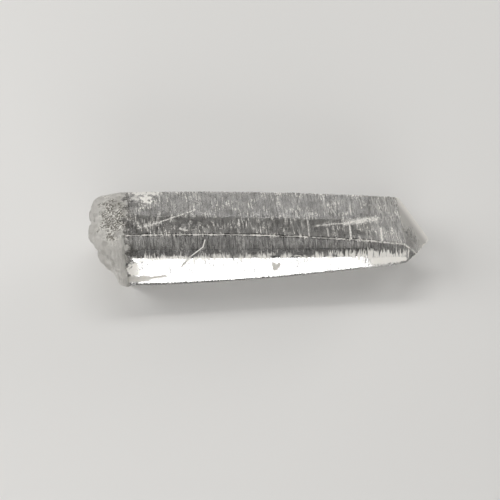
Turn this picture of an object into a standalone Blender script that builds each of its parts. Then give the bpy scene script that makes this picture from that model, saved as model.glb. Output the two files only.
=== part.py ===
# A clear quartz point of the laddered kind, lying on one of its six prism faces.
# It is a single crystal: a flattened, tapering six-sided prism with growth ledges across its
# faces, three rhombohedral faces at the tip, and a lumpy, frosted base where it broke away.
# The long axis runs along X with the tip at +X, and the crystal rests on Z = 0.

import math
import random

import bmesh
import bpy
from mathutils import Vector, noise

MM = 0.001

# Overall, in millimetres. X is measured along the long axis from the middle of the prism.
TIP_X = 43.3
BASE_X = -40.6
SHOULDER_X = -32.2
AXIS_HEIGHT = 9.0

# The six prism faces, going round from the top by way of the front (-Y). Each has the direction
# it faces about the long axis in degrees, its distance from the axis at X = 0, how much it closes
# in per millimetre towards the tip, how much it bows per square millimetre, and how far the
# ledges stray from that line.
PRISM_FACES = (
    {"name": "top", "turn": 90, "distance": 9.11, "taper": 0.077, "bow": 0.00070, "stray": 0.035},
    {"name": "front upper", "turn": 150, "distance": 8.91, "taper": -0.011, "bow": -0.00022, "stray": 0.045},
    {"name": "front lower", "turn": 210, "distance": 10.0, "taper": 0.0136, "bow": 0.00082, "stray": 0.045},
    {"name": "bottom", "turn": 270, "distance": AXIS_HEIGHT, "taper": 0.0, "bow": 0.0, "stray": 0.0},
    {"name": "back lower", "turn": 330, "distance": 10.91, "taper": 0.069, "bow": 0.0, "stray": 0.05},
    {"name": "back upper", "turn": 390, "distance": 11.49, "taper": 0.0725, "bow": 0.00055, "stray": 0.05},
)
FACE_PARTS = (4, 4, 3, 4, 3, 4)

# The tip: rhombohedral faces over every other prism face, leaning 51.8 degrees from the axis.
TIP_FACES = (
    {"name": "top", "turn": 90, "distance": 26.35},
    {"name": "front lower", "turn": 210, "distance": 29.1},
    {"name": "back lower", "turn": 330, "distance": 25.1},
)
TIP_LEAN = 51.8
TIP_WEAR = 0.35

# Growth ledges across the prism.
LEDGE_SPACING = (0.75, 1.75)
LEDGE_RISER = 0.12
LEDGE_WAVER = 0.20
LEDGE_LEAN = 2.5
LEDGE_LEAD = 1.2
LEDGE_FOLLOW = (0.3, 0.9)
BROAD_LEDGE_SHARE = 0.25
GROOVE_SHARE = 0.3
GROOVE_DEPTH = (0.05, 0.12)

# The base: a blunt dome of rounded lumps and small pits.
BASE_RINGS = 13
BASE_SPLIT = 3
BASE_MIDDLE = (0.5, 2.0)
BASE_POLE = (1.8, 4.85)
BASE_BLUNTNESS = {"upper": 3.0, "lower": 1.1}
BASE_ROUNDNESS = 0.95
BASE_ROUNDING = 0.6
BASE_HALF_WIDTHS = (13.5, 9.2)
LOBE_GROOVE = 0.38
LOBES = (
    {"place": (7.8, 9.9), "radius": 5.1, "height": 1.21},
    {"place": (1.3, 3.5), "radius": 3.9, "height": 0.92},
    {"place": (-2.8, 2.3), "radius": 1.5, "height": 0.61},
    {"place": (-4.5, 1.3), "radius": 3.3, "height": 1.05},
    {"place": (-9.7, -1.4), "radius": 2.4, "height": 1.29},
    {"place": (5.2, 1.6), "radius": 3.2, "height": 0.85},
    {"place": (9.8, 4.6), "radius": 3.6, "height": 0.95},
    {"place": (-3.4, 6.8), "radius": 2.7, "height": 0.75},
    {"place": (0.6, -3.4), "radius": 3.8, "height": 0.95},
    {"place": (7.6, -3.2), "radius": 3.5, "height": 0.90},
    {"place": (12.6, -0.6), "radius": 2.8, "height": 0.75},
    {"place": (-5.2, -4.5), "radius": 2.6, "height": 0.42},
)
COBBLES = {"size": 2.1, "height": 0.30}
PITS = {"size": 1.5, "depth": 0.45}

SEED = 7


def clear_scene():
    for item in list(bpy.data.objects):
        bpy.data.objects.remove(item, do_unlink=True)


def crystal_material():
    material = bpy.data.materials.new("clear quartz")
    material.use_nodes = True
    shader = material.node_tree.nodes["Principled BSDF"]
    shader.inputs["Base Color"].default_value = (0.93, 0.94, 0.94, 1.0)
    shader.inputs["Roughness"].default_value = 0.06
    shader.inputs["Metallic"].default_value = 0.0
    shader.inputs["IOR"].default_value = 1.544
    shader.inputs["Transmission Weight"].default_value = 1.0
    return material


def face_distance(face, x):
    return face["distance"] - face["taper"] * x - face["bow"] * x * x


def corner(first, second, first_distance, second_distance):
    """Where two neighbouring prism faces meet, as (y, z) from the axis."""
    a, b = math.radians(first["turn"]), math.radians(second["turn"])
    across = math.sin(b - a)
    y = (first_distance * math.sin(b) - second_distance * math.sin(a)) / across
    z = (second_distance * math.cos(a) - first_distance * math.cos(b)) / across
    return Vector((y, z))


def section(distances, split=1):
    """The outline of the prism across its axis, each face divided evenly, as (y, z) points."""
    count = len(PRISM_FACES)
    corners = []
    for i in range(count):
        before = (i - 1) % count
        faces = PRISM_FACES[before], PRISM_FACES[i]
        corners.append(corner(*faces, distances[before], distances[i]))
    points = []
    for i, parts in enumerate(FACE_PARTS):
        start, end = corners[i], corners[(i + 1) % count]
        steps = parts * split
        points += [start.lerp(end, step / steps) for step in range(steps)]
    return points


def ledge_stations(rng):
    """Where the ledges cross the prism, unevenly spaced from the shoulder to past the tip."""
    stations = []
    x = SHOULDER_X + LEDGE_SPACING[0]
    while x < TIP_X + 2 * LEDGE_SPACING[1]:
        stations.append(x)
        x += rng.uniform(*LEDGE_SPACING)
    return stations


def stepped_distances(rng, stations):
    """For every tread between two ledges, how far each prism face stands from the axis."""
    current = [face_distance(face, SHOULDER_X) for face in PRISM_FACES]
    treads = [list(current)]
    for x in stations:
        broad = rng.random() < BROAD_LEDGE_SHARE
        for i, face in enumerate(PRISM_FACES):
            if face["name"] == "bottom":
                groove = rng.uniform(*GROOVE_DEPTH) if rng.random() < GROOVE_SHARE else 0.0
                current[i] = face["distance"] - groove
                continue
            follow = 1.0 if broad else rng.uniform(*LEDGE_FOLLOW)
            gap = face_distance(face, x + LEDGE_LEAD) - current[i]
            current[i] += follow * gap + rng.uniform(-1, 1) * face["stray"]
        treads.append(list(current))
    return treads


def waver(x, y, z):
    """How far a ledge strays along the axis at a place on its outline."""
    lean = -math.tan(math.radians(LEDGE_LEAN)) * y
    return lean + LEDGE_WAVER * noise.noise(Vector((0.9 * x, 0.25 * y, 0.25 * z)))


def add_ring(mesh, x, outline):
    return [mesh.verts.new((x + waver(x, y, z), y, z + AXIS_HEIGHT)) for y, z in outline]


def bridge(mesh, near, far):
    """Joins two rings, of which the near one may be divided more finely."""
    split = len(near) // len(far)
    for i in range(len(far)):
        fine = [near[(i * split + k) % len(near)] for k in range(split + 1)]
        mesh.faces.new(fine + [far[(i + 1) % len(far)], far[i]])


def lobe_rise(place):
    """The big round lobes of the base, which meet in creases."""
    across = Vector((place.y, place.z))
    rise = 0.0
    for lobe in LOBES:
        reach = (across - Vector(lobe["place"])).length / lobe["radius"]
        rise = max(rise, lobe["height"] * (1.0 - reach * reach))
    return rise


def cobble_rise(place):
    """Small round cobbles, highest at the middle of each."""
    nearest = noise.voronoi(place / COBBLES["size"])[0][0]
    return COBBLES["height"] * (0.4 - min(1.0, nearest / 0.75) ** 2)


def base_relief(place, share):
    """How far the base stands out at a place. Share is 0 at the shoulder and 1 at the end."""
    pit = PITS["depth"] * max(0.0, noise.noise(place / PITS["size"]) - 0.15)
    relief = lobe_rise(place) - LOBE_GROOVE + cobble_rise(place) - pit
    return min(1.0, 3.0 * share) * relief


def bluntness(direction):
    """The upper back of the base is boxy, and its lower front is cut away."""
    up = 0.5 + 0.5 * direction.normalized().dot(Vector((0.55, 0.83)))
    low, high = BASE_BLUNTNESS["lower"], BASE_BLUNTNESS["upper"]
    return low + (high - low) * up


def rounded_edge(edge, share):
    """The outline loses its six corners towards the end of the base."""
    middle = Vector(BASE_MIDDLE)
    ray = edge - middle
    wide, high = BASE_HALF_WIDTHS
    oval = ray / math.hypot(ray.x / wide, ray.y / high)
    return middle + ray.lerp(oval, BASE_ROUNDNESS * share ** BASE_ROUNDING)


def base_point(outline_point, share):
    """A point of the base on the way from the shoulder's outline to the middle of the end."""
    pole = Vector(BASE_POLE)
    edge = rounded_edge(outline_point, share)
    power = 2.0 / bluntness(edge - pole)
    turn = 0.5 * math.pi * share
    flat = pole.lerp(edge, math.cos(turn) ** power)
    x = SHOULDER_X - (SHOULDER_X - BASE_X) * math.sin(turn) ** power
    place = Vector((x, flat.x, flat.y))
    outwards = (place - Vector((SHOULDER_X + 6.0, *pole))).normalized()
    return place + outwards * base_relief(place, share)


def add_base(mesh, outline):
    """Closes the broad end with a lumpy dome, and returns its first ring."""
    first = add_ring(mesh, SHOULDER_X, outline)
    rings = [first]
    for step in range(1, BASE_RINGS):
        places = [base_point(edge, step / BASE_RINGS) for edge in outline]
        rings.append([mesh.verts.new((p.x, p.y, p.z + AXIS_HEIGHT)) for p in places])
    for near, far in zip(rings[1:], rings):
        bridge(mesh, near, far)
    end = base_point(outline[0], 1.0)
    middle = mesh.verts.new((end.x, end.y, end.z + AXIS_HEIGHT))
    last = rings[-1]
    for i, vert in enumerate(last):
        mesh.faces.new((vert, middle, last[(i + 1) % len(last)]))
    return first


def add_prism(mesh, near, stations, treads):
    """Stacks the treads and ledges from the shoulder to past the tip."""
    for i, x in enumerate(stations):
        for place, distances in ((x, treads[i]), (x + LEDGE_RISER, treads[i + 1])):
            far = add_ring(mesh, place, section(distances))
            bridge(mesh, near, far)
            near = far
    mesh.faces.new(near)


def cut_away(mesh, normal, distance):
    """Cuts off what lies past a plane and closes the cut."""
    origin = Vector((0.0, 0.0, AXIS_HEIGHT)) + normal * distance
    geometry = mesh.verts[:] + mesh.edges[:] + mesh.faces[:]
    result = bmesh.ops.bisect_plane(
        mesh, geom=geometry, dist=1e-5, plane_co=origin, plane_no=normal, clear_outer=True
    )
    rim = [item for item in result["geom_cut"] if isinstance(item, bmesh.types.BMEdge)]
    bmesh.ops.holes_fill(mesh, edges=rim)


def cut_tip(mesh):
    lean = math.radians(TIP_LEAN)
    for face in TIP_FACES:
        turn = math.radians(face["turn"])
        aside = math.sin(lean)
        normal = Vector((math.cos(lean), aside * math.cos(turn), aside * math.sin(turn)))
        cut_away(mesh, normal, face["distance"])
    apex = max(mesh.verts, key=lambda vert: vert.co.x).co.copy()
    worn = Vector((0.97, 0.10, -0.20)).normalized()
    axis_origin = Vector((0.0, 0.0, AXIS_HEIGHT))
    cut_away(mesh, worn, worn.dot(apex - axis_origin) - TIP_WEAR)


def stand_on_origin(mesh):
    """Puts the middle of the crystal's box over the origin."""
    places = [vert.co for vert in mesh.verts]
    shift = Vector((0.0, 0.0, 0.0))
    for axis in (0, 1):
        values = [place[axis] for place in places]
        shift[axis] = -0.5 * (min(values) + max(values))
    bmesh.ops.translate(mesh, vec=shift, verts=mesh.verts[:])


def quartz_point():
    rng = random.Random(SEED)
    stations = ledge_stations(rng)
    treads = stepped_distances(rng, stations)
    mesh = bmesh.new()
    near = add_base(mesh, section(treads[0], BASE_SPLIT))
    add_prism(mesh, near, stations, treads)
    cut_tip(mesh)
    cut_away(mesh, Vector((0.0, 0.0, -1.0)), AXIS_HEIGHT)
    bmesh.ops.remove_doubles(mesh, verts=mesh.verts[:], dist=0.01)
    bmesh.ops.triangulate(mesh, faces=mesh.faces[:])
    bmesh.ops.recalc_face_normals(mesh, faces=mesh.faces[:])
    stand_on_origin(mesh)
    bmesh.ops.scale(mesh, vec=(MM, MM, MM), verts=mesh.verts[:])
    return mesh


def main():
    clear_scene()
    shape = quartz_point()
    mesh = bpy.data.meshes.new("quartz_point")
    shape.to_mesh(mesh)
    shape.free()
    mesh.materials.append(crystal_material())
    crystal = bpy.data.objects.new("quartz_point", mesh)
    bpy.context.scene.collection.objects.link(crystal)
    print("quartz_point:", len(mesh.polygons), "faces")


main()
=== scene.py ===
import functools
import math
import random

import bmesh
import bpy
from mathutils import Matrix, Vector, noise


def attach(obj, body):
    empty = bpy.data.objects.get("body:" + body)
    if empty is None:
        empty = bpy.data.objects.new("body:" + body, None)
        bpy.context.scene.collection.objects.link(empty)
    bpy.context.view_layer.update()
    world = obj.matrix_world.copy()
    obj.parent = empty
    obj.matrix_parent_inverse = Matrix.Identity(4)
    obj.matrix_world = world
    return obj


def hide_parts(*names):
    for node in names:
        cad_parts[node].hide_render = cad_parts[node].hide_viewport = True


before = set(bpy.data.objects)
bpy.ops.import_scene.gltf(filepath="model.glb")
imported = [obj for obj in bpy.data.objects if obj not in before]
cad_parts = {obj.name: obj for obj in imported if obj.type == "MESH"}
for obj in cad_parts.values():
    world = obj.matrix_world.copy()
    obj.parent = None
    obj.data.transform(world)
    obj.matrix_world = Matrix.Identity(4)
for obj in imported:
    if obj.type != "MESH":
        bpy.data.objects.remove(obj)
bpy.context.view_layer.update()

mm = 0.001
tiny = 1e-6              # metres, far below any length of the shape


def deselectAll():
    if bpy.context.mode != "OBJECT":
        bpy.ops.object.mode_set(mode="OBJECT")
    bpy.ops.object.select_all(action="DESELECT")


def editMesh(piece):
    deselectAll()
    piece.select_set(True)
    bpy.context.view_layer.objects.active = piece
    bpy.ops.object.mode_set(mode="EDIT")


def selectEdges(piece, wanted):
    editMesh(piece)
    bpy.ops.mesh.select_mode(type="EDGE")
    bpy.ops.mesh.select_all(action="DESELECT")
    work = bmesh.from_edit_mesh(piece.data)
    for edge in work.edges:
        edge.select_set(wanted(edge))
    bmesh.update_edit_mesh(piece.data)


# A shader socket that can stand in a sum.
class Wire:

    def __init__(self, tree, socket):
        self.tree = tree
        self.socket = socket

    def node(self, kind, values=None, out=0, **settings):
        made = self.tree.nodes.new("ShaderNode" + kind)
        for name, value in settings.items():
            setattr(made, name, value)
        for name, value in (values or {}).items():
            if isinstance(value, Wire):
                self.tree.links.new(value.socket, made.inputs[name])
            else:
                made.inputs[name].default_value = value
        return Wire(self.tree, made.outputs[out])

    def math(self, operation, first, second, clamp=False):
        return self.node("Math", {0: first, 1: second}, operation=operation, use_clamp=clamp)

    def __add__(self, other):
        return self.math("ADD", self, other)

    def __radd__(self, other):
        return self.math("ADD", other, self)

    def __sub__(self, other):
        return self.math("SUBTRACT", self, other)

    def __rsub__(self, other):
        return self.math("SUBTRACT", other, self)

    def __mul__(self, other):
        return self.math("MULTIPLY", self, other)

    def __rmul__(self, other):
        return self.math("MULTIPLY", other, self)

    def either(self, other):
        return self.math("MAXIMUM", self, other)

    def clamp(self):
        return self.math("ADD", self, 0.0, clamp=True)

    def step(self, low, high):
        # 0 below low and 1 above high, smooth between; it falls instead if low is above high
        ends = {"From Min": low, "From Max": high, "To Min": 0.0, "To Max": 1.0}
        if low > high:
            ends = {"From Min": high, "From Max": low, "To Min": 1.0, "To Max": 0.0}
        return self.node("MapRange", {"Value": self, **ends}, interpolation_type="SMOOTHSTEP")


# The crystal's shape, in millimetres from its long axis.
crystal = {
    "axisAt": Vector((-1.04, -2.15, 9.0)),
    "tipEnd": 45.6,
    "shoulder": -32.2,
    "baseEnd": -40.6,
    "facePoints": 20,              # on each side of a ring
    "firstCorner": 60,             # the turn of the corner that a ring starts from
    "baseRings": 64,
    "ringBlocks": (12, 10, 4),     # cut into 12 lengths, each of them into 10, and those into 4
    "edgeWear": 0.10,
    "cornerCut": 0.25,             # how far a worn corner moves in, as a share of the wear
    "tipLean": 51.8,
    "tipWear": 0.35,
    "wornTowards": Vector((0.97, 0.10, -0.20)),
    "poleReach": 0.02,
    "weld": 0.002,
    "smoothUnder": 16,             # degrees
}

# A face looks towards its turn, in degrees about the axis. It closes in towards the tip by its
# taper and its bow, and its ledges stray from that line.
prismFaces = (
    {"name": "top", "turn": 90, "distance": 9.11, "taper": 0.077, "bow": 0.0007, "stray": 0.03},
    {"name": "frontUpper", "turn": 150, "distance": 8.91, "taper": -0.011, "bow": -0.00022, "stray": 0.006},
    {"name": "frontLower", "turn": 210, "distance": 10.0, "taper": 0.0136, "bow": 0.00082, "stray": 0.03},
    {"name": "bottom", "turn": 270, "distance": 9.03, "taper": 0.0, "bow": 0.0, "stray": 0.0},
    {"name": "backLower", "turn": 330, "distance": 10.91, "taper": 0.069, "bow": 0.0, "stray": 0.03},
    {"name": "backUpper", "turn": 390, "distance": 11.49, "taper": 0.0725, "bow": 0.00055, "stray": 0.008},
)
tipFaces = (
    {"name": "tipTop", "turn": 90, "distance": 26.35},
    {"name": "tipFrontLower", "turn": 210, "distance": 29.1},
    {"name": "tipBackLower", "turn": 330, "distance": 25.1},
)

# Growth ledges across the prism. At each one a face steps towards its own line, and only part
# of the way unless the ledge is a broad one, which goes all round.
ledges = {
    "seed": 23,
    "spacing": (0.35, 1.5),
    "clearEnd": 0.3,
    "riser": 0.08,
    "lean": 2.5,
    "waver": 0.10,
    "waverScale": (1.3, 0.3),      # along the prism and around it
    "broadShare": 0.2,
    "lead": 0.8,
    "follow": (0.3, 0.9),
    "streak": 0.006,
    "streakLength": 0.30,
    "streakScale": 0.15,           # around the prism
    "faceReach": 10.0,             # about how far the faces are from the axis
}

# The base: a blunt dome of rounded lobes, with cobbles, pits and grain on them. A pair is a
# place in the plane across the axis.
base = {
    "middle": Vector((0.5, 2.0)),
    "pole": Vector((1.8, 4.85)),
    "upwards": Vector((0.55, 0.83)),
    "blunt": (1.1, 3.0),           # at the lower side and at the upper side
    "roundness": 0.95,
    "rounding": 0.6,
    "halfWidths": (13.5, 9.2),
    "swellFrom": 6.0,              # the lumps swell from a point so far inside the shoulder
    "swellOver": 3.0,
    "lobeGroove": 0.38,
    "lobes": (
        {"place": (7.8, 9.9), "radius": 5.1, "height": 1.21},
        {"place": (1.3, 3.5), "radius": 3.9, "height": 0.92},
        {"place": (-2.8, 2.3), "radius": 1.5, "height": 0.61},
        {"place": (-4.5, 1.3), "radius": 3.3, "height": 1.05},
        {"place": (-9.7, -1.4), "radius": 2.4, "height": 1.29},
        {"place": (5.2, 1.6), "radius": 3.2, "height": 0.85},
        {"place": (9.8, 4.6), "radius": 3.6, "height": 0.95},
        {"place": (-3.4, 6.8), "radius": 2.7, "height": 0.75},
        {"place": (0.6, -3.4), "radius": 3.8, "height": 0.95},
        {"place": (7.6, -3.2), "radius": 3.5, "height": 0.90},
        {"place": (12.6, -0.6), "radius": 2.8, "height": 0.75},
        {"place": (-5.2, -4.5), "radius": 2.6, "height": 0.42},
    ),
    "cobbles": {"size": 2.1, "height": 0.55, "level": 0.4, "rim": 0.75},
    "pits": {"size": 1.5, "depth": 0.55, "above": 0.15},
    "grain": {"size": 0.55, "depth": 0.14},
}


def faceLine(face, x):
    return face["distance"] - face["taper"] * x - face["bow"] * x * x


def faceCorner(first, second, firstDistance, secondDistance):
    a, b = math.radians(first["turn"]), math.radians(second["turn"])
    across = math.sin(b - a)
    y = (firstDistance * math.sin(b) - secondDistance * math.sin(a)) / across
    z = (secondDistance * math.cos(a) - firstDistance * math.cos(b)) / across
    return Vector((y, z))


def tipNormal(face):
    lean, turn = math.radians(crystal["tipLean"]), math.radians(face["turn"])
    return Vector((math.cos(lean), math.sin(lean) * math.cos(turn), math.sin(lean) * math.sin(turn)))


def outline(distances):
    # the six-sided outline as (y, z) points, with the corners worn to narrow flats
    faces, parts = prismFaces, crystal["facePoints"]
    count = len(faces)
    corners = [faceCorner(faces[i - 1], faces[i], distances[i - 1], distances[i]) for i in range(count)]
    points = []
    for i in range(count):
        before, start, end = corners[i - 1], corners[i], corners[(i + 1) % count]
        inwards = (end - start).normalized() + (before - start).normalized()
        points.append(start + crystal["cornerCut"] * crystal["edgeWear"] * inwards)
        wear = crystal["edgeWear"] / (end - start).length
        for k in range(parts - 1):
            points.append(start.lerp(end, wear + (1.0 - 2.0 * wear) * k / (parts - 2)))
    return points


def ledgeProfiles():
    # each face's distance from the axis at the start and end of every riser
    rng = random.Random(ledges["seed"])
    stations = []
    x = crystal["shoulder"] + ledges["spacing"][0]
    while x < crystal["tipEnd"] - ledges["clearEnd"]:
        stations.append(x)
        x += rng.uniform(*ledges["spacing"])
    current = [faceLine(face, crystal["shoulder"]) for face in prismFaces]
    places = [crystal["shoulder"]]
    profile = [list(current)]
    for x in stations:
        profile.append(list(current))
        places.append(x)
        broad = rng.random() < ledges["broadShare"]
        for i, face in enumerate(prismFaces):
            if face["name"] == "bottom":
                continue
            follow = 1.0 if broad else rng.uniform(*ledges["follow"])
            gap = faceLine(face, x + ledges["lead"]) - current[i]
            current[i] += follow * gap + rng.uniform(-1, 1) * face["stray"]
        places.append(x + ledges["riser"])
        profile.append(list(current))
    return places, profile


def ringPlaces(needed, count):
    # adds rings halfway along the widest gaps until there are enough
    places = sorted(needed)
    while len(places) < count:
        widest = max(range(len(places) - 1), key=lambda i: places[i + 1] - places[i])
        places.insert(widest + 1, 0.5 * (places[widest] + places[widest + 1]))
    return places


def between(places, profile, x):
    for i in range(len(places) - 1):
        if x <= places[i + 1]:
            share = (x - places[i]) / (places[i + 1] - places[i])
            return [a + share * (b - a) for a, b in zip(profile[i], profile[i + 1])]
    return profile[-1]


def waver(x, y, z):
    # a ring leans, and wanders a little along the prism
    along, around = ledges["waverScale"]
    lean = -math.tan(math.radians(ledges["lean"])) * y
    return lean + ledges["waver"] * noise.noise(Vector((along * x, around * y, around * z)))


def prismPoint(x, flat):
    # a point of the prism's skin, with the fine streaks that run across the faces
    around = ledges["streakScale"]
    streak = noise.noise(Vector((x / ledges["streakLength"], around * flat.x, around * flat.y)))
    flat = flat * (1.0 + ledges["streak"] * streak / ledges["faceReach"])
    return Vector((x + waver(x, flat.x, flat.y), flat.x, flat.y))


def baseRelief(place, share):
    across = Vector((place.y, place.z))
    lobe = 0.0
    for bump in base["lobes"]:
        reach = (across - Vector(bump["place"])).length / bump["radius"]
        lobe = max(lobe, bump["height"] * (1.0 - reach * reach))
    cobbles, pits, grains = base["cobbles"], base["pits"], base["grain"]
    nearest = noise.voronoi(place / cobbles["size"])[0][0]
    cobble = cobbles["height"] * (cobbles["level"] - min(1.0, nearest / cobbles["rim"]) ** 2)
    pit = pits["depth"] * max(0.0, noise.noise(place / pits["size"]) - pits["above"])
    grain = grains["depth"] * noise.noise(place / grains["size"])
    return min(1.0, base["swellOver"] * share) * (lobe - base["lobeGroove"] + cobble - pit + grain)


def basePoint(edge, share):
    # a point of the dome, where share is 0 at the prism and 1 at the pole
    wide, high = base["halfWidths"]
    ray = edge - base["middle"]
    oval = ray / math.hypot(ray.x / wide, ray.y / high)
    edge = base["middle"] + ray.lerp(oval, base["roundness"] * share ** base["rounding"])
    pole = base["pole"]
    up = 0.5 + 0.5 * (edge - pole).normalized().dot(base["upwards"])
    power = 2.0 / (base["blunt"][0] + (base["blunt"][1] - base["blunt"][0]) * up)
    turn = 0.5 * math.pi * share
    flat = pole.lerp(edge, math.cos(turn) ** power)
    x = crystal["shoulder"] - (crystal["shoulder"] - crystal["baseEnd"]) * math.sin(turn) ** power
    x += waver(x, flat.x, flat.y) * (1.0 - share)
    place = Vector((x, flat.x, flat.y))
    inside = Vector((crystal["shoulder"] + base["swellFrom"], pole.x, pole.y))
    return place + (place - inside).normalized() * baseRelief(place, share)


def crystalRings():
    # every ring from the end of the base to past the tip
    places, profile = ledgeProfiles()
    total = math.prod(crystal["ringBlocks"]) + 1
    stations = ringPlaces(places + [crystal["tipEnd"]], total - crystal["baseRings"])
    first = outline(profile[0])
    rings = []
    for step in range(crystal["baseRings"], 0, -1):
        rings.append([basePoint(edge, step / crystal["baseRings"]) for edge in first])
    for x in stations:
        rings.append([prismPoint(x, flat) for flat in outline(between(places, profile, x))])
    return rings


def layRings(piece, rings, around):
    # moves each vertex of a cylinder one metre long to its point on its ring
    last = len(rings) - 1
    for vert in piece.data.vertices:
        ring = round((vert.co.x + 0.5) * last)
        turn = math.atan2(vert.co.z, vert.co.y) - math.radians(crystal["firstCorner"])
        point = round(turn / (2 * math.pi) * around) % around
        vert.co = (rings[ring][point] + crystal["axisAt"]) * mm


def closeBase(piece, pole):
    editMesh(piece)
    bpy.ops.mesh.select_mode(type="VERT")
    bpy.ops.mesh.select_all(action="DESELECT")
    work = bmesh.from_edit_mesh(piece.data)
    for vert in work.verts:
        vert.select_set((vert.co - pole).length < crystal["poleReach"] * mm)
    bpy.ops.mesh.merge(type="CENTER")


def cutAway(place, normal):
    # cuts off what lies outside a plane and fills the cut
    bpy.ops.mesh.select_all(action="SELECT")
    bpy.ops.mesh.bisect(plane_co=place, plane_no=normal, use_fill=True, clear_outer=True, threshold=1e-8)


def makeCrystal():
    around = len(prismFaces) * crystal["facePoints"]
    deselectAll()
    bpy.ops.mesh.primitive_cylinder_add(
        vertices=around, depth=1.0, end_fill_type="NGON", rotation=(0, math.pi / 2, 0))
    piece = bpy.context.object
    piece.name = "quartzCrystal"
    bpy.ops.object.transform_apply(location=True, rotation=True, scale=True)

    # the long sides are cut into rings, and each ring is laid on the crystal's outline
    for blocks in crystal["ringBlocks"]:
        selectEdges(piece, lambda edge: abs(edge.verts[0].co.x - edge.verts[1].co.x) > tiny)
        bpy.ops.mesh.subdivide(number_cuts=blocks - 1)
    bpy.ops.object.mode_set(mode="OBJECT")
    rings = crystalRings()
    layRings(piece, rings, around)
    closeBase(piece, (rings[0][0] + crystal["axisAt"]) * mm)

    # the tip's faces, the worn point and the resting face
    for face in tipFaces:
        normal = tipNormal(face)
        cutAway((normal * face["distance"] + crystal["axisAt"]) * mm, normal)
    work = bmesh.from_edit_mesh(piece.data)
    apex = max(work.verts, key=lambda vert: vert.co.x).co.copy()
    worn = crystal["wornTowards"].normalized()
    cutAway(apex - worn * crystal["tipWear"] * mm, worn)
    cutAway((0, 0, 0), (0, 0, -1))
    bpy.ops.mesh.select_all(action="SELECT")
    bpy.ops.mesh.remove_doubles(threshold=crystal["weld"] * mm)
    bpy.ops.mesh.normals_make_consistent(inside=False)
    bpy.ops.object.mode_set(mode="OBJECT")
    bpy.ops.object.shade_smooth_by_angle(angle=math.radians(crystal["smoothUnder"]))

    # the base is smooth all over, down to the rim of the resting face
    shoulder = (crystal["shoulder"] + crystal["axisAt"].x) * mm
    selectEdges(piece, lambda edge: max(vert.co.x for vert in edge.verts) < shoulder
                and max(vert.co.z for vert in edge.verts) > tiny)
    bpy.ops.mesh.mark_sharp(clear=True)
    bpy.ops.object.mode_set(mode="OBJECT")
    return piece


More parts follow.
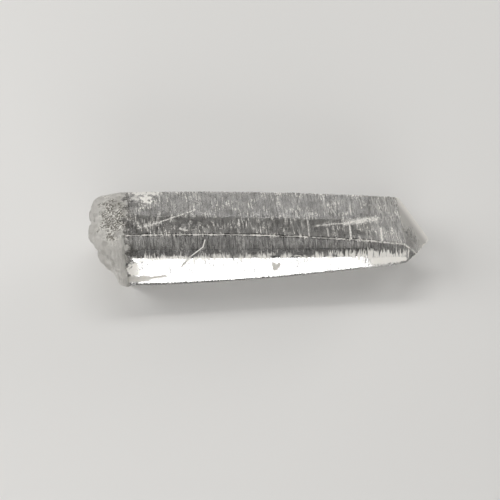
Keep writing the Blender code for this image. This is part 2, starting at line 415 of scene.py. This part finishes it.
# The crystal's finish: clear quartz, with milky quartz where it is frosted or etched. Lengths
# are in millimetres, and places are measured in the part's own frame. A pair of numbers says
# where a mask starts and where it is full.
quartz = {
    "ior": 1.544,
    "roughness": 0.015,
    "absorption": 6.5,             # per metre
    "absorbed": (0.12, 0.07, 0.0, 1.0),
    "milk": (0.90, 0.873, 0.82, 1.0),
    "dusk": (0.13, 0.12, 0.095, 1.0),
    "milkRoughness": 0.5,
    "milkClear": 0.15,
    "skin": (0.45, 0.25),          # a place so close under a face lies on it
    "streakScale": 0.40,           # of all streaks around the prism

    # relief, roughness, tint and painted shade of the clear faces
    "smoothFaces": {"faces": ("frontUpper", "backUpper", "bottom"), "share": 0.8},
    "fineStreak": {"size": 0.16, "seed": 0, "height": 0.012, "rough": 0.12, "roughLines": (0.45, 0.75)},
    "broadStreak": {"size": 0.75, "seed": 40, "height": 0.030},
    "grain": {"size": 0.30, "height": 0.012},
    "pits": {"size": 0.45, "height": 0.26},
    # dark lines, partly a tint and partly painted shade; darkest on the front face
    "lineTintAndShade": {"top": 0.66, "frontUpper": 0.22, "others": 1.0, "fine": (0.66, 0.42), "broad": (0.85, 0.45)},
    "bands": {"size": 2.4, "seed": 60, "lines": (0.35, 0.65), "depth": 0.40},
    # painted shade over the whole top face and, darker still, the front face
    "faceShade": {"top": 0.73, "frontUpper": 0.53, "others": 1.0},
    # a painted shadow on the top face beside the base
    "shadow": {"at": (-31.0, 3.3, 19.7), "reach": (3.6, 1.7, 3.0), "rim": (1.0, 0.4), "depth": 0.6},
    "nearTip": {"ends": (26.0, 30.0), "rough": 0.26, "frontClear": 0.6, "frontHeight": 3.0},

    # the frosted base, with its mottled patch, its pale specks and painted shade in its hollows
    "frost": {"ends": (-30.8, -32.2), "raggedSize": 1.6, "ragged": 6.0, "share": 0.60, "spoiltShare": 0.35,
              "roughOver": (0.35, 1.0), "rough": 0.60, "dusk": 0.24},
    "mottle": {"at": (-35.2, -0.6, 19.0), "reach": (4.4, 7.2, 4.6), "rim": (1.15, 0.55),
               "raggedSize": 1.8, "ragged": 1.8, "size": 0.36, "spots": (0.40, 0.53),
               "clumpSize": 1.6, "clumps": (0.26, 0.46)},
    "specks": {"at": (-37.79, -3.4, 18.0), "reach": (3.4, 3.6, 3.4), "rim": (1.0, 0.4),
               "size": 0.42, "spots": (0.60, 0.68)},
    # painted shade in the creases between the lumps
    "creaseShade": {"bend": (0.50, 0.44), "above": (-8.8, -8.2), "depth": 0.8},
    "clouds": {"size": 2.4, "spots": (0.44, 0.62), "depth": 0.50},

    # white haze, dashes (partly etched, partly painted glints) and short streaks of painted light that follow
    # the lines across the prism, and dust
    "haze": {"top": 0.35, "frontUpper": 0.10, "others": 0.25, "clearFaces": ("backUpper", "bottom"),
             "lines": (0.48, 0.72), "grain": (0.42, 0.62)},
    "farHaze": {"lines": (0.40, 0.66), "lined": 0.32, "even": 0.12},
    # dashes: partly etched lines and partly painted glints
    "dashesAndGlints": {"top": 1.0, "frontUpper": 0.3, "others": 0.3, "size": 0.24, "seed": 21, "lines": (0.54, 0.58),
               "grain": (0.44, 0.52), "clumpSize": 3.0, "clumps": (0.35, 0.60),
               "moreFrom": (0.0, 16.0), "more": 0.025},
    # painted light along the edge of the bright band in the front face
    "lightFringe": {"size": 0.30, "seed": 7, "lines": (0.32, 0.44), "thinning": 0.30, "clumpSize": 3.0},
    "dust": {"size": 1.7, "reach": 0.10, "full": 0.4, "clumpSize": 4.0, "clumps": (0.50, 0.75),
             "strength": 0.8},

    # the top face of the tip: cloudy but for a clear corner, and more so along its outer edge, where the
    # extra milk is a painted highlight; painted shade darkens it away from that edge
    "tipHaze": {"at": (36.21, -8.6, 13.2), "reach": (2.6, 3.6, 3.0), "rim": (0.4, 1.5), "grain": 1.6,
                "size": 0.40, "seed": 90, "streak": 2.0, "within": (0.0, 0.15),
                "share": 0.55, "outerHighlight": 0.35, "outerHighlightOver": (3.2, 0.2), "dusk": 0.16, "duskOver": (0.3, 3.5)},

    # the rims of marks, patches and edges, whose white is partly wear and partly a painted highlight
    "markRim": {"size": 0.35, "middle": 0.45, "full": 0.4, "gapSize": 0.28, "gaps": (0.36, 0.50)},
    "patchRim": {"size": 0.8, "ragged": 2.0, "rim": (1.0, 0.5)},
    # white along edges: partly wear, partly a painted highlight
    "edgeRimAndHighlight": {"size": 0.7, "ragged": 3.6, "full": 0.3, "gapSize": 2.2, "gaps": (0.30, 0.55)},
}

# Etched lines and chips. "broken" is how far a line is broken up, and "dusk" how dark it is.
marks = (
    # the broken scratch across the left of the top face, with a spur and a chip below it
    {"from": (-15.59, 0.8, 19.0), "to": (-24.19, -2.5, 19.5),
     "width": 0.30, "ragged": 0.8, "broken": 0.85, "strength": 0.95},
    {"from": (-24.19, -2.5, 19.5), "to": (-28.99, -4.0, 19.7),
     "width": 0.70, "ragged": 2.6, "broken": 0.9, "strength": 0.85},
    {"from": (-21.59, -2.2, 19.4), "to": (-21.19, -0.3, 19.4),
     "width": 0.24, "ragged": 0.4, "broken": 0.6, "strength": 0.8},
    {"from": (-17.79, -5.2, 19.2), "to": (-19.39, -4.7, 19.3),
     "width": 0.45, "ragged": 0.9, "broken": 0.6, "strength": 0.8},
    # the scratch near the tip, wider at its right end
    {"from": (13.1, -4.7, 16.9), "to": (20.8, -3.9, 16.15),
     "width": 0.30, "ragged": 0.9, "broken": 0.6, "strength": 0.85},
    {"from": (20.8, -3.9, 16.1), "to": (28.5, -2.6, 15.3),
     "width": 1.25, "ragged": 2.4, "broken": 0.8, "strength": 1.0},
    # rungs across the right of the top face
    {"from": (16.2, 4.3, 16.6), "to": (16.2, 0.0, 16.6),
     "width": 0.34, "ragged": 1.2, "broken": 0.6, "strength": 0.45},
    {"from": (22.5, 1.4, 15.9), "to": (22.5, -1.3, 15.9),
     "width": 0.27, "ragged": 0.4, "broken": 0.6, "strength": 0.8},
    {"from": (11.5, -2.9, 16.95), "to": (11.4, -7.6, 16.95),
     "width": 0.27, "ragged": 0.5, "broken": 0.6, "strength": 0.75},
    {"from": (16.1, -5.4, 16.6), "to": (16.1, -7.7, 16.6),
     "width": 0.27, "ragged": 0.5, "broken": 0.6, "strength": 0.7},
    {"from": (21.7, -4.7, 16.0), "to": (21.5, -8.6, 16.0),
     "width": 0.36, "ragged": 0.5, "broken": 0.4, "strength": 1.0},
    {"from": (25.67, -5.3, 15.47), "to": (25.6, -9.2, 15.4),
     "width": 0.32, "ragged": 0.5, "broken": 0.5, "strength": 0.9},
    {"from": (26.75, -4.7, 15.3), "to": (26.8, -6.9, 15.3),
     "width": 0.32, "ragged": 0.5, "broken": 0.5, "strength": 0.9},
    {"from": (29.3, -5.4, 15.12), "to": (29.1, -9.0, 15.12),
     "width": 0.44, "ragged": 0.5, "broken": 0.25, "strength": 1.0},
    # a faint line along the top face
    {"from": (-18.19, -5.0, 19.2), "to": (13.81, -5.0, 16.9),
     "width": 0.13, "ragged": 0.35, "broken": 0.6, "strength": 0.5},
    # the bent scratch on the front face
    {"from": (-13.69, -7.2, 17.7), "to": (-14.29, -8.2, 16.1),
     "width": 0.20, "ragged": 0.15, "broken": 0.0, "strength": 1.0},
    {"from": (-14.29, -8.2, 16.1), "to": (-17.55, -9.43, 14.0),
     "width": 0.20, "ragged": 0.15, "broken": 0.0, "strength": 1.0},
    {"from": (-17.55, -9.43, 14.0), "to": (-19.7, -10.6, 11.9),
     "width": 0.36, "ragged": 0.15, "broken": 0.0, "strength": 1.0, "dusk": 0.6},
    # the heart-shaped chip
    {"from": (2.68, -11.3, 11.1), "to": (3.00, -11.9, 10.2),
     "width": 0.92, "ragged": 0.4, "broken": 0.0, "strength": 1.0, "dusk": 0.55},
    {"from": (3.78, -11.3, 11.0), "to": (3.16, -11.9, 10.1),
     "width": 0.86, "ragged": 0.4, "broken": 0.0, "strength": 1.0, "dusk": 0.55},
    # the long chip low on the front face
    {"from": (-32.6, -12.0, 9.6), "to": (-28.2, -11.95, 9.6),
     "width": 1.25, "ragged": 0.9, "broken": 0.0, "strength": 1.0, "dusk": 0.5},
    {"from": (-28.2, -11.95, 9.6), "to": (-23.94, -11.73, 9.82),
     "width": 0.62, "ragged": 0.6, "broken": 0.0, "strength": 1.0, "dusk": 0.5},
    # the white foot of the front face next to the tip, light painted as white milk
    {"from": (27.3, -11.95, 10.8), "to": (30.0, -12.0, 10.9),
     "width": 2.00, "ragged": 2.2, "broken": 0.0, "strength": 1.0},
    {"from": (30.0, -12.0, 10.9), "to": (33.2, -12.0, 10.95),
     "width": 1.45, "ragged": 1.2, "broken": 0.0, "strength": 1.0},
    {"from": (33.2, -12.0, 10.95), "to": (34.7, -12.1, 10.95),
     "width": 0.90, "ragged": 0.8, "broken": 0.0, "strength": 1.0},
    # short dashes along the front face
    {"from": (-23.99, -9.1, 14.3), "to": (-18.99, -9.35, 14.05),
     "width": 0.30, "ragged": 0.7, "broken": 0.6, "strength": 0.9},
    {"from": (6.61, -10.2, 12.9), "to": (10.31, -10.4, 12.7),
     "width": 0.30, "ragged": 1.0, "broken": 0.6, "strength": 0.9},
)

# Short streaks of painted light that stand on a line along the front face and thin out away from it: the
# ragged edge of the bright band in that face, painted as white milk.
lightFringes = (
    {"from": (-31.39, -9.25, 14.17), "to": (34.6, -11.4, 12.0),
     "reach": 1.9, "clumps": (0.38, 0.58), "strength": 0.8},
    {"from": (23.5, -11.1, 12.2), "to": (33.8, -11.5, 11.9),
     "reach": 2.3, "clumps": (0.15, 0.35), "strength": 0.9},
)

# Frosted patches: three at the back of the top face and one at the base end of the front face.
patches = (
    {"at": (-27.4, 4.6, 19.6), "reach": (1.7, 2.0, 3.0), "ragged": 1.6, "strength": 1.0},
    {"at": (-26.8, 6.2, 19.5), "reach": (4.6, 0.7, 3.0), "ragged": 1.6, "strength": 0.9},
    {"at": (-30.0, 5.0, 19.7), "reach": (1.3, 1.3, 3.0), "ragged": 1.8, "strength": 0.6},
    {"at": (-31.5, -10.6, 11.6), "reach": (1.9, 3.0, 2.8), "ragged": 1.2, "strength": 1.0},
)

# Worn edges, each between two faces; their white is partly wear and partly a painted highlight. "whole" is
# how much of the wear fills its own gaps.
edges = (
    {"between": ("top", "frontUpper"), "width": 0.20, "strength": 0.8, "whole": 0.5},
    {"between": ("top", "backUpper"), "width": 0.20, "strength": 0.55, "whole": 0.0},
    {"between": ("tipTop", "top"), "width": 0.10, "strength": 0.2, "whole": 0.0},
    {"between": ("tipTop", "frontUpper"), "width": 0.30, "strength": 0.9, "whole": 0.7},
    {"between": ("tipTop", "backUpper"), "width": 0.40, "strength": 0.9, "whole": 0.5},
    {"between": ("tipTop", "tipFrontLower"), "width": 0.42, "strength": 1.0, "whole": 1.0},
    {"between": ("tipTop", "tipBackLower"), "width": 0.60, "strength": 1.0, "whole": 1.0},
    {"between": ("tipFrontLower", "frontUpper"), "width": 0.22, "strength": 0.6, "whole": 0.3},
)


# Masks over the crystal, each from 0 to 1, and the distances they are made from.
class Finish:

    def __init__(self, tree):
        self.wire = Wire(tree, None)
        node = self.wire.node
        scaled = node("VectorMath", {0: node("TexCoord", out="Object"), "Scale": 1.0 / mm}, operation="SCALE")
        self.place = node("VectorMath", {0: scaled, 1: crystal["axisAt"]}, operation="SUBTRACT")
        self.x, self.y, self.z = (node("SeparateXYZ", {0: self.place}, out=axis) for axis in "XYZ")
        self.depths = {face["name"]: self.prismDepth(face) for face in prismFaces}
        for face in tipFaces:
            self.depths[face["name"]] = self.tipDepth(face)
        self.top = self.onFace("top")
        self.front = self.onFace("frontUpper")
        rise = self.depths["top"] - self.depths["tipTop"]
        self.tip = self.onFace("tipTop") * rise.step(*quartz["tipHaze"]["within"])
        self.nearTip = self.x.step(*quartz["nearTip"]["ends"])
        self.fine = self.streaks(quartz["fineStreak"])
        self.broad = self.streaks(quartz["broadStreak"])
        self.grain = self.noise(quartz["grain"]["size"])
        self.makeFrost(quartz["frost"], quartz["mottle"])

    def makeFrost(self, frost, mottle):
        # the frosted base, the part of it that the mottled patch spoils, and how milky it is
        ragged = self.sway(frost["raggedSize"], detail=5.0) * frost["ragged"]
        self.frost = (self.x + ragged).step(*frost["ends"])
        ragged = self.sway(mottle["raggedSize"], detail=3.0) * mottle["ragged"]
        self.spoilt = (self.offPatch(mottle) + ragged).step(*mottle["rim"])
        self.frosted = self.frost * (frost["share"] + self.spoilt * frost["spoiltShare"])

    def noise(self, size, detail=2.0, at=None):
        return self.wire.node("TexNoise", {"Vector": at or self.place, "Scale": 1.0 / size, "Detail": detail})

    def sway(self, size, detail=2.0, middle=0.5):
        return self.noise(size, detail) - middle

    def streaks(self, lines):
        # fine lines across the prism, long around it and narrow along it
        around = quartz["streakScale"]
        along = self.x + self.y * math.tan(math.radians(ledges["lean"]))
        at = {0: along * (1.0 / lines["size"]), 1: self.y * around, 2: self.z * around + lines["seed"]}
        return self.noise(1.0, at=self.wire.node("CombineXYZ", at))

    def prismDepth(self, face):
        # how far inside a prism face a place is
        turn = math.radians(face["turn"])
        across = self.y * math.cos(turn) + self.z * math.sin(turn)
        return face["distance"] - (self.x * face["taper"] + self.x * self.x * face["bow"] + across)

    def tipDepth(self, face):
        values = {0: self.place, 1: tipNormal(face)}
        return face["distance"] - self.wire.node("VectorMath", values, out="Value", operation="DOT_PRODUCT")

    def onFace(self, name):
        return self.depths[name].step(*quartz["skin"])

    def onFaces(self, names):
        return functools.reduce(Wire.either, [self.onFace(name) for name in names])

    def shares(self, amounts):
        # one amount on the top, one on the front and another everywhere else
        rest = amounts["others"]
        top = self.top * (amounts["top"] - rest)
        return top + self.front * (amounts["frontUpper"] - rest) + rest

    def offLine(self, line):
        # how far a place is from a line
        start, end = (Vector(line[key]) - crystal["axisAt"] for key in ("from", "to"))
        run = end - start
        node = self.wire.node
        ray = node("VectorMath", {0: self.place, 1: start}, operation="SUBTRACT")
        share = run / run.length_squared
        along = node("VectorMath", {0: ray, 1: share}, out="Value", operation="DOT_PRODUCT")
        foot = node("VectorMath", {0: run, "Scale": along.clamp()}, operation="SCALE")
        return node("VectorMath", {0: ray, 1: foot}, out="Value", operation="DISTANCE")

    def offPatch(self, patch):
        # 0 in the middle of a patch and 1 at its reach
        node = self.wire.node
        middle = Vector(patch["at"]) - crystal["axisAt"]
        ray = node("VectorMath", {0: self.place, 1: middle}, operation="SUBTRACT")
        ray = node("VectorMath", {0: ray, 1: patch["reach"]}, operation="DIVIDE")
        return node("VectorMath", {0: ray}, out="Value", operation="LENGTH")

    def mark(self, line):
        rim, width = quartz["markRim"], line["width"]
        off = self.offLine(line) + self.sway(rim["size"], 3.0, rim["middle"]) * line["ragged"]
        broken = self.noise(rim["gapSize"]).step(*rim["gaps"]) * line["broken"] + (1.0 - line["broken"])
        return off.step(width, rim["full"] * width) * broken * line["strength"]

    def patch(self, patch):
        rim = quartz["patchRim"]
        ragged = self.sway(rim["size"], detail=5.0) * rim["ragged"] * patch["ragged"]
        return (self.offPatch(patch) + ragged).step(*rim["rim"]) * patch["strength"]

    # an edge worn white: partly wear, partly a painted highlight
    def edge(self, wear):
        rim, width = quartz["edgeRimAndHighlight"], wear["width"]
        first, second = (self.depths[name] for name in wear["between"])
        ragged = self.sway(rim["size"], detail=4.0) * rim["ragged"] * width
        worn = self.noise(rim["gapSize"]).step(*rim["gaps"]).either(wear["whole"])
        return (first.either(second) + ragged).step(width, rim["full"] * width) * worn * wear["strength"]

    # painted light: short white streaks along the edge of the bright band in the front face
    def lightFringe(self, lightFringe):
        lines = quartz["lightFringe"]
        away = self.offLine(lightFringe) * (lines["thinning"] / lightFringe["reach"])
        clumps = self.noise(lines["clumpSize"]).step(*lightFringe["clumps"]) * lightFringe["strength"]
        return (self.streaks(lines) - away).step(*lines["lines"]) * clumps * self.front

    def haze(self, haze):
        share = self.shares(haze) * (1.0 - self.onFaces(haze["clearFaces"]))
        return self.fine.step(*haze["lines"]) * self.grain.step(*haze["grain"]) * share

    def farHaze(self, haze):
        return self.nearTip * self.top * (self.fine.step(*haze["lines"]) * haze["lined"] + haze["even"])

    # dashes on the faces: partly etched lines, partly painted glints
    def dashesAndGlints(self, dashesAndGlints):
        lines = self.streaks(dashesAndGlints) + self.x.step(*dashesAndGlints["moreFrom"]) * dashesAndGlints["more"]
        lines = lines.step(*dashesAndGlints["lines"]) * self.grain.step(*dashesAndGlints["grain"])
        clumps = self.noise(dashesAndGlints["clumpSize"], detail=1.0).step(*dashesAndGlints["clumps"])
        return lines * self.shares(dashesAndGlints) * clumps

    def dust(self, dust):
        reach = dust["reach"] / dust["size"]
        cells = self.wire.node("TexVoronoi", {"Vector": self.place, "Scale": 1.0 / dust["size"]})
        clumps = self.noise(dust["clumpSize"], detail=1.0).step(*dust["clumps"])
        return cells.step(reach, dust["full"] * reach) * clumps * self.top * dust["strength"]

    # the tip's cloudiness, with extra milk along its outer edge as a painted highlight
    def tipHaze(self, haze):
        cloudy = self.offPatch(haze) + (self.grain - 0.5) * haze["grain"]
        cloudy = (cloudy + (self.streaks(haze) - 0.5) * haze["streak"]).step(*haze["rim"])
        outerHighlight = self.depths["tipBackLower"].step(*haze["outerHighlightOver"])
        return self.tip * (cloudy * (outerHighlight * haze["outerHighlight"] + haze["share"]))


def makeRelief(finish, lined):
    fine, broad, grain, pits = (quartz[name] for name in ("fineStreak", "broadStreak", "grain", "pits"))
    height = finish.fine * fine["height"] + finish.broad * broad["height"]
    height = (height + finish.grain * grain["height"]) * lined
    height = height * (finish.nearTip * finish.front * quartz["nearTip"]["frontHeight"] + 1.0)
    height = height + finish.noise(pits["size"], detail=4.0) * finish.frosted * pits["height"]
    return finish.wire.node("Bump", {"Height": height, "Strength": 1.0, "Distance": mm})


def makeRoughness(finish, lined):
    fine, frost, near = quartz["fineStreak"], quartz["frost"], quartz["nearTip"]
    rough = finish.fine.step(*fine["roughLines"]) * lined * fine["rough"] + quartz["roughness"]
    rough = rough.either(finish.frost.step(*frost["roughOver"]) * frost["rough"])
    return rough.either(finish.nearTip * (1.0 - finish.front * near["frontClear"]) * near["rough"])


def makeTintAndShade(finish):
    # clear crystal is darker along its lines (partly a tint, partly painted shade) and in soft bands, with
    # painted shade over the top and front faces and a painted shadow beside the base
    lines, bands, shadow = quartz["lineTintAndShade"], quartz["bands"], quartz["shadow"]
    # dark lines across the prism, partly a tint and partly painted shade
    shade = (1.0 - finish.shares(lines)) * finish.fine.step(*lines["fine"])
    shade = 1.0 - shade * finish.broad.step(*lines["broad"])
    band = finish.streaks(bands).step(*bands["lines"]) * finish.top.either(finish.front)
    # painted shade over the top and front faces
    shade = shade * (1.0 - band * bands["depth"]) * finish.shares(quartz["faceShade"])
    # a painted shadow beside the base
    shade = shade * (1.0 - finish.offPatch(shadow).step(*shadow["rim"]) * shadow["depth"])
    return finish.wire.node("CombineColor", {0: shade, 1: shade, 2: shade})


def makeMilk(finish, patched, etched):
    # milky crystal is darker where it is mottled or clouded, and in the chips; painted shade darkens it in
    # the creases and on the tip's face away from its outer edge
    frost, mottle, specks, creaseShade, clouds, tip = (
        quartz[name] for name in ("frost", "mottle", "specks", "creaseShade", "clouds", "tipHaze"))
    mottled = finish.spoilt * finish.noise(mottle["size"], detail=4.0).step(*mottle["spots"])
    mottled = mottled * finish.noise(mottle["clumpSize"]).step(*mottle["clumps"])
    # painted shade in the creases of the frosted base, where the surface curves inwards
    bend = finish.wire.node("NewGeometry", out="Pointiness")
    paintedCreaseShade = bend.step(*creaseShade["bend"]) * creaseShade["depth"] * finish.frost * finish.z.step(*creaseShade["above"])
    clouded = finish.frost * finish.noise(clouds["size"], detail=4.0).step(*clouds["spots"]) * clouds["depth"]
    dusky = finish.frost * (1.0 - finish.spoilt) * frost["dusk"]
    dark = mottled.either(paintedCreaseShade).either(clouded).either(dusky)
    specked = finish.offPatch(specks).step(*specks["rim"])
    specked = specked * finish.noise(specks["size"]).step(*specks["spots"])
    # painted shade: the tip's face darker away from its outer edge
    paintedTipShade = finish.tip * finish.depths["tipBackLower"].step(*tip["duskOver"]) * tip["dusk"]
    dark = (dark * (1.0 - specked)).either(paintedTipShade) * (1.0 - patched)
    for line, mask in zip(marks, etched):
        if "dusk" in line:
            dark = dark.either(mask * line["dusk"])
    # a mix node has its colours at 6 and 7 and gives their blend at 2
    return finish.wire.node("Mix", {0: dark, 6: quartz["milk"], 7: quartz["dusk"]}, out=2, data_type="RGBA")


def makeWhite(finish, patched, etched):
    # everything that is frosted, etched, dusty or worn white, and the highlights, glints and streaks of light
    # painted in white milk
    masks = [finish.frosted, patched] + etched
    masks.append(finish.haze(quartz["haze"]))
    masks.append(finish.farHaze(quartz["farHaze"]))
    masks.append(finish.dashesAndGlints(quartz["dashesAndGlints"]))
    masks.append(finish.tipHaze(quartz["tipHaze"]))
    masks.append(finish.dust(quartz["dust"]))
    masks += [finish.lightFringe(lightFringe) for lightFringe in lightFringes]
    masks += [finish.edge(wear) for wear in edges]
    return functools.reduce(Wire.either, masks)


def makeQuartz():
    material = bpy.data.materials.new("clearQuartz")
    material.use_nodes = True
    tree = material.node_tree
    tree.nodes.clear()
    finish = Finish(tree)
    node = finish.wire.node
    lined = 1.0 - finish.onFaces(quartz["smoothFaces"]["faces"]) * quartz["smoothFaces"]["share"]
    patched = functools.reduce(Wire.either, [finish.patch(patch) for patch in patches])
    etched = [finish.mark(line) for line in marks]
    bump = makeRelief(finish, lined)

    clear = node("BsdfPrincipled", {
        "Base Color": makeTintAndShade(finish),
        "Roughness": makeRoughness(finish, lined),
        "IOR": quartz["ior"],
        "Transmission Weight": 1.0,
        "Normal": bump,
    })
    milky = node("BsdfPrincipled", {
        "Base Color": makeMilk(finish, patched, etched),
        "Roughness": quartz["milkRoughness"],
        "IOR": quartz["ior"],
        "Transmission Weight": quartz["milkClear"],
        "Normal": bump,
    })
    surface = node("MixShader", {0: makeWhite(finish, patched, etched), 1: clear, 2: milky})
    inside = node("VolumeAbsorption", {"Color": quartz["absorbed"], "Density": quartz["absorption"]})
    output = tree.nodes.new("ShaderNodeOutputMaterial")
    tree.links.new(surface.socket, output.inputs["Surface"])
    tree.links.new(inside.socket, output.inputs["Volume"])
    return material


# The studio. Turn 0 is straight behind the crystal, heights are in degrees, and the distances
# and sizes of the lights are in metres. A light is hidden from the kinds of ray it names.
stage = {
    "floor": (0.76, 0.75, 0.73, 1.0),
    "floorRoughness": 0.6,
    "floorSize": 6.0,
    "gap": 0.03,                   # millimetres between the floor and the crystal
    "world": (1.0, 0.99, 0.97, 1.0),
    "worldStrength": 0.23,
    "lights": (
        {"name": "softbox", "turn": 0.0, "height": 61.5, "away": 0.50,
         "size": (0.42, 0.10), "radiance": 5.2, "hidden": ("glossy",)},
        {"name": "sideBox", "turn": -80.0, "height": 35.0, "away": 0.50,
         "size": (0.30, 0.30), "radiance": 3.5, "hidden": ()},
        {"name": "fillBox", "turn": -160.0, "height": 55.0, "away": 0.60,
         "size": (0.40, 0.30), "radiance": 1.3, "hidden": ()},
        {"name": "tipBox", "turn": 58.0, "height": 14.0, "away": 0.50,
         "size": (0.24, 0.20), "radiance": 4.5, "hidden": ("glossy", "transmission")},
        {"name": "frontBox", "turn": 178.0, "height": 15.0, "away": 0.60,
         "size": (0.40, 0.24), "radiance": 4.5, "hidden": ("glossy", "transmission")},
        {"name": "frontCard", "turn": -178.0, "height": 5.5, "away": 0.60,
         "size": (0.60, 0.11), "radiance": 0.6, "hidden": ("glossy",)},
    ),
}

# The camera, in millimetres and degrees.
view = {
    "target": Vector((-2.64, -4.25, 7.5)),
    "away": 250.0,
    "turn": 4.45,                  # from straight in front, towards -X
    "height": 56.5,
    "lens": 72.0,
    "clipStart": 10.0,
}


def outwards(turn, height):
    # the direction from the middle of the stage, both in degrees
    turn, height = math.radians(turn), math.radians(height)
    return Vector((math.sin(turn) * math.cos(height), math.cos(turn) * math.cos(height), math.sin(height)))


def makeFloor():
    deselectAll()
    bpy.ops.mesh.primitive_plane_add(size=stage["floorSize"], location=(0, 0, -stage["gap"] * mm))
    floor = bpy.context.object
    floor.name = "floor"
    material = bpy.data.materials.new("floor")
    material.use_nodes = True
    shader = material.node_tree.nodes["Principled BSDF"]
    shader.inputs["Base Color"].default_value = stage["floor"]
    shader.inputs["Roughness"].default_value = stage["floorRoughness"]
    floor.data.materials.append(material)


def makeLight(what):
    # an area light that looks at the middle of the stage
    place = outwards(what["turn"], what["height"])
    data = bpy.data.lights.new(what["name"], "AREA")
    data.shape = "RECTANGLE"
    data.size, data.size_y = what["size"]
    data.energy = what["radiance"] * math.pi * data.size * data.size_y
    light = bpy.data.objects.new(what["name"], data)
    bpy.context.scene.collection.objects.link(light)
    light.location = place * what["away"]
    light.rotation_euler = place.to_track_quat("Z", "Y").to_euler()
    for kind in ("camera",) + what["hidden"]:
        setattr(light, "visible_" + kind, False)


def makeStage():
    makeFloor()
    for what in stage["lights"]:
        makeLight(what)
    world = bpy.data.worlds.new("studio")
    world.use_nodes = True
    shade = world.node_tree.nodes["Background"]
    shade.inputs["Color"].default_value = stage["world"]
    shade.inputs["Strength"].default_value = stage["worldStrength"]
    bpy.context.scene.world = world
    bpy.context.scene.view_settings.view_transform = "Standard"


def makeCamera():
    back = outwards(view["turn"] + 180.0, view["height"])
    data = bpy.data.cameras.new("camera")
    data.lens = view["lens"]
    data.clip_start = view["clipStart"] * mm
    camera = bpy.data.objects.new("camera", data)
    bpy.context.scene.collection.objects.link(camera)
    camera.location = (view["target"] + back * view["away"]) * mm
    camera.rotation_euler = back.to_track_quat("Z", "Y").to_euler()
    bpy.context.scene.camera = camera


makeCamera()
makeStage()
print("stage:", len(stage["lights"]), "lights")
piece = makeCrystal()
print("crystal:", len(piece.data.polygons), "faces")
material = makeQuartz()
print("finish:", len(material.node_tree.nodes), "nodes")
piece.data.materials.append(material)
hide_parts("quartz_point")
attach(piece, "root")
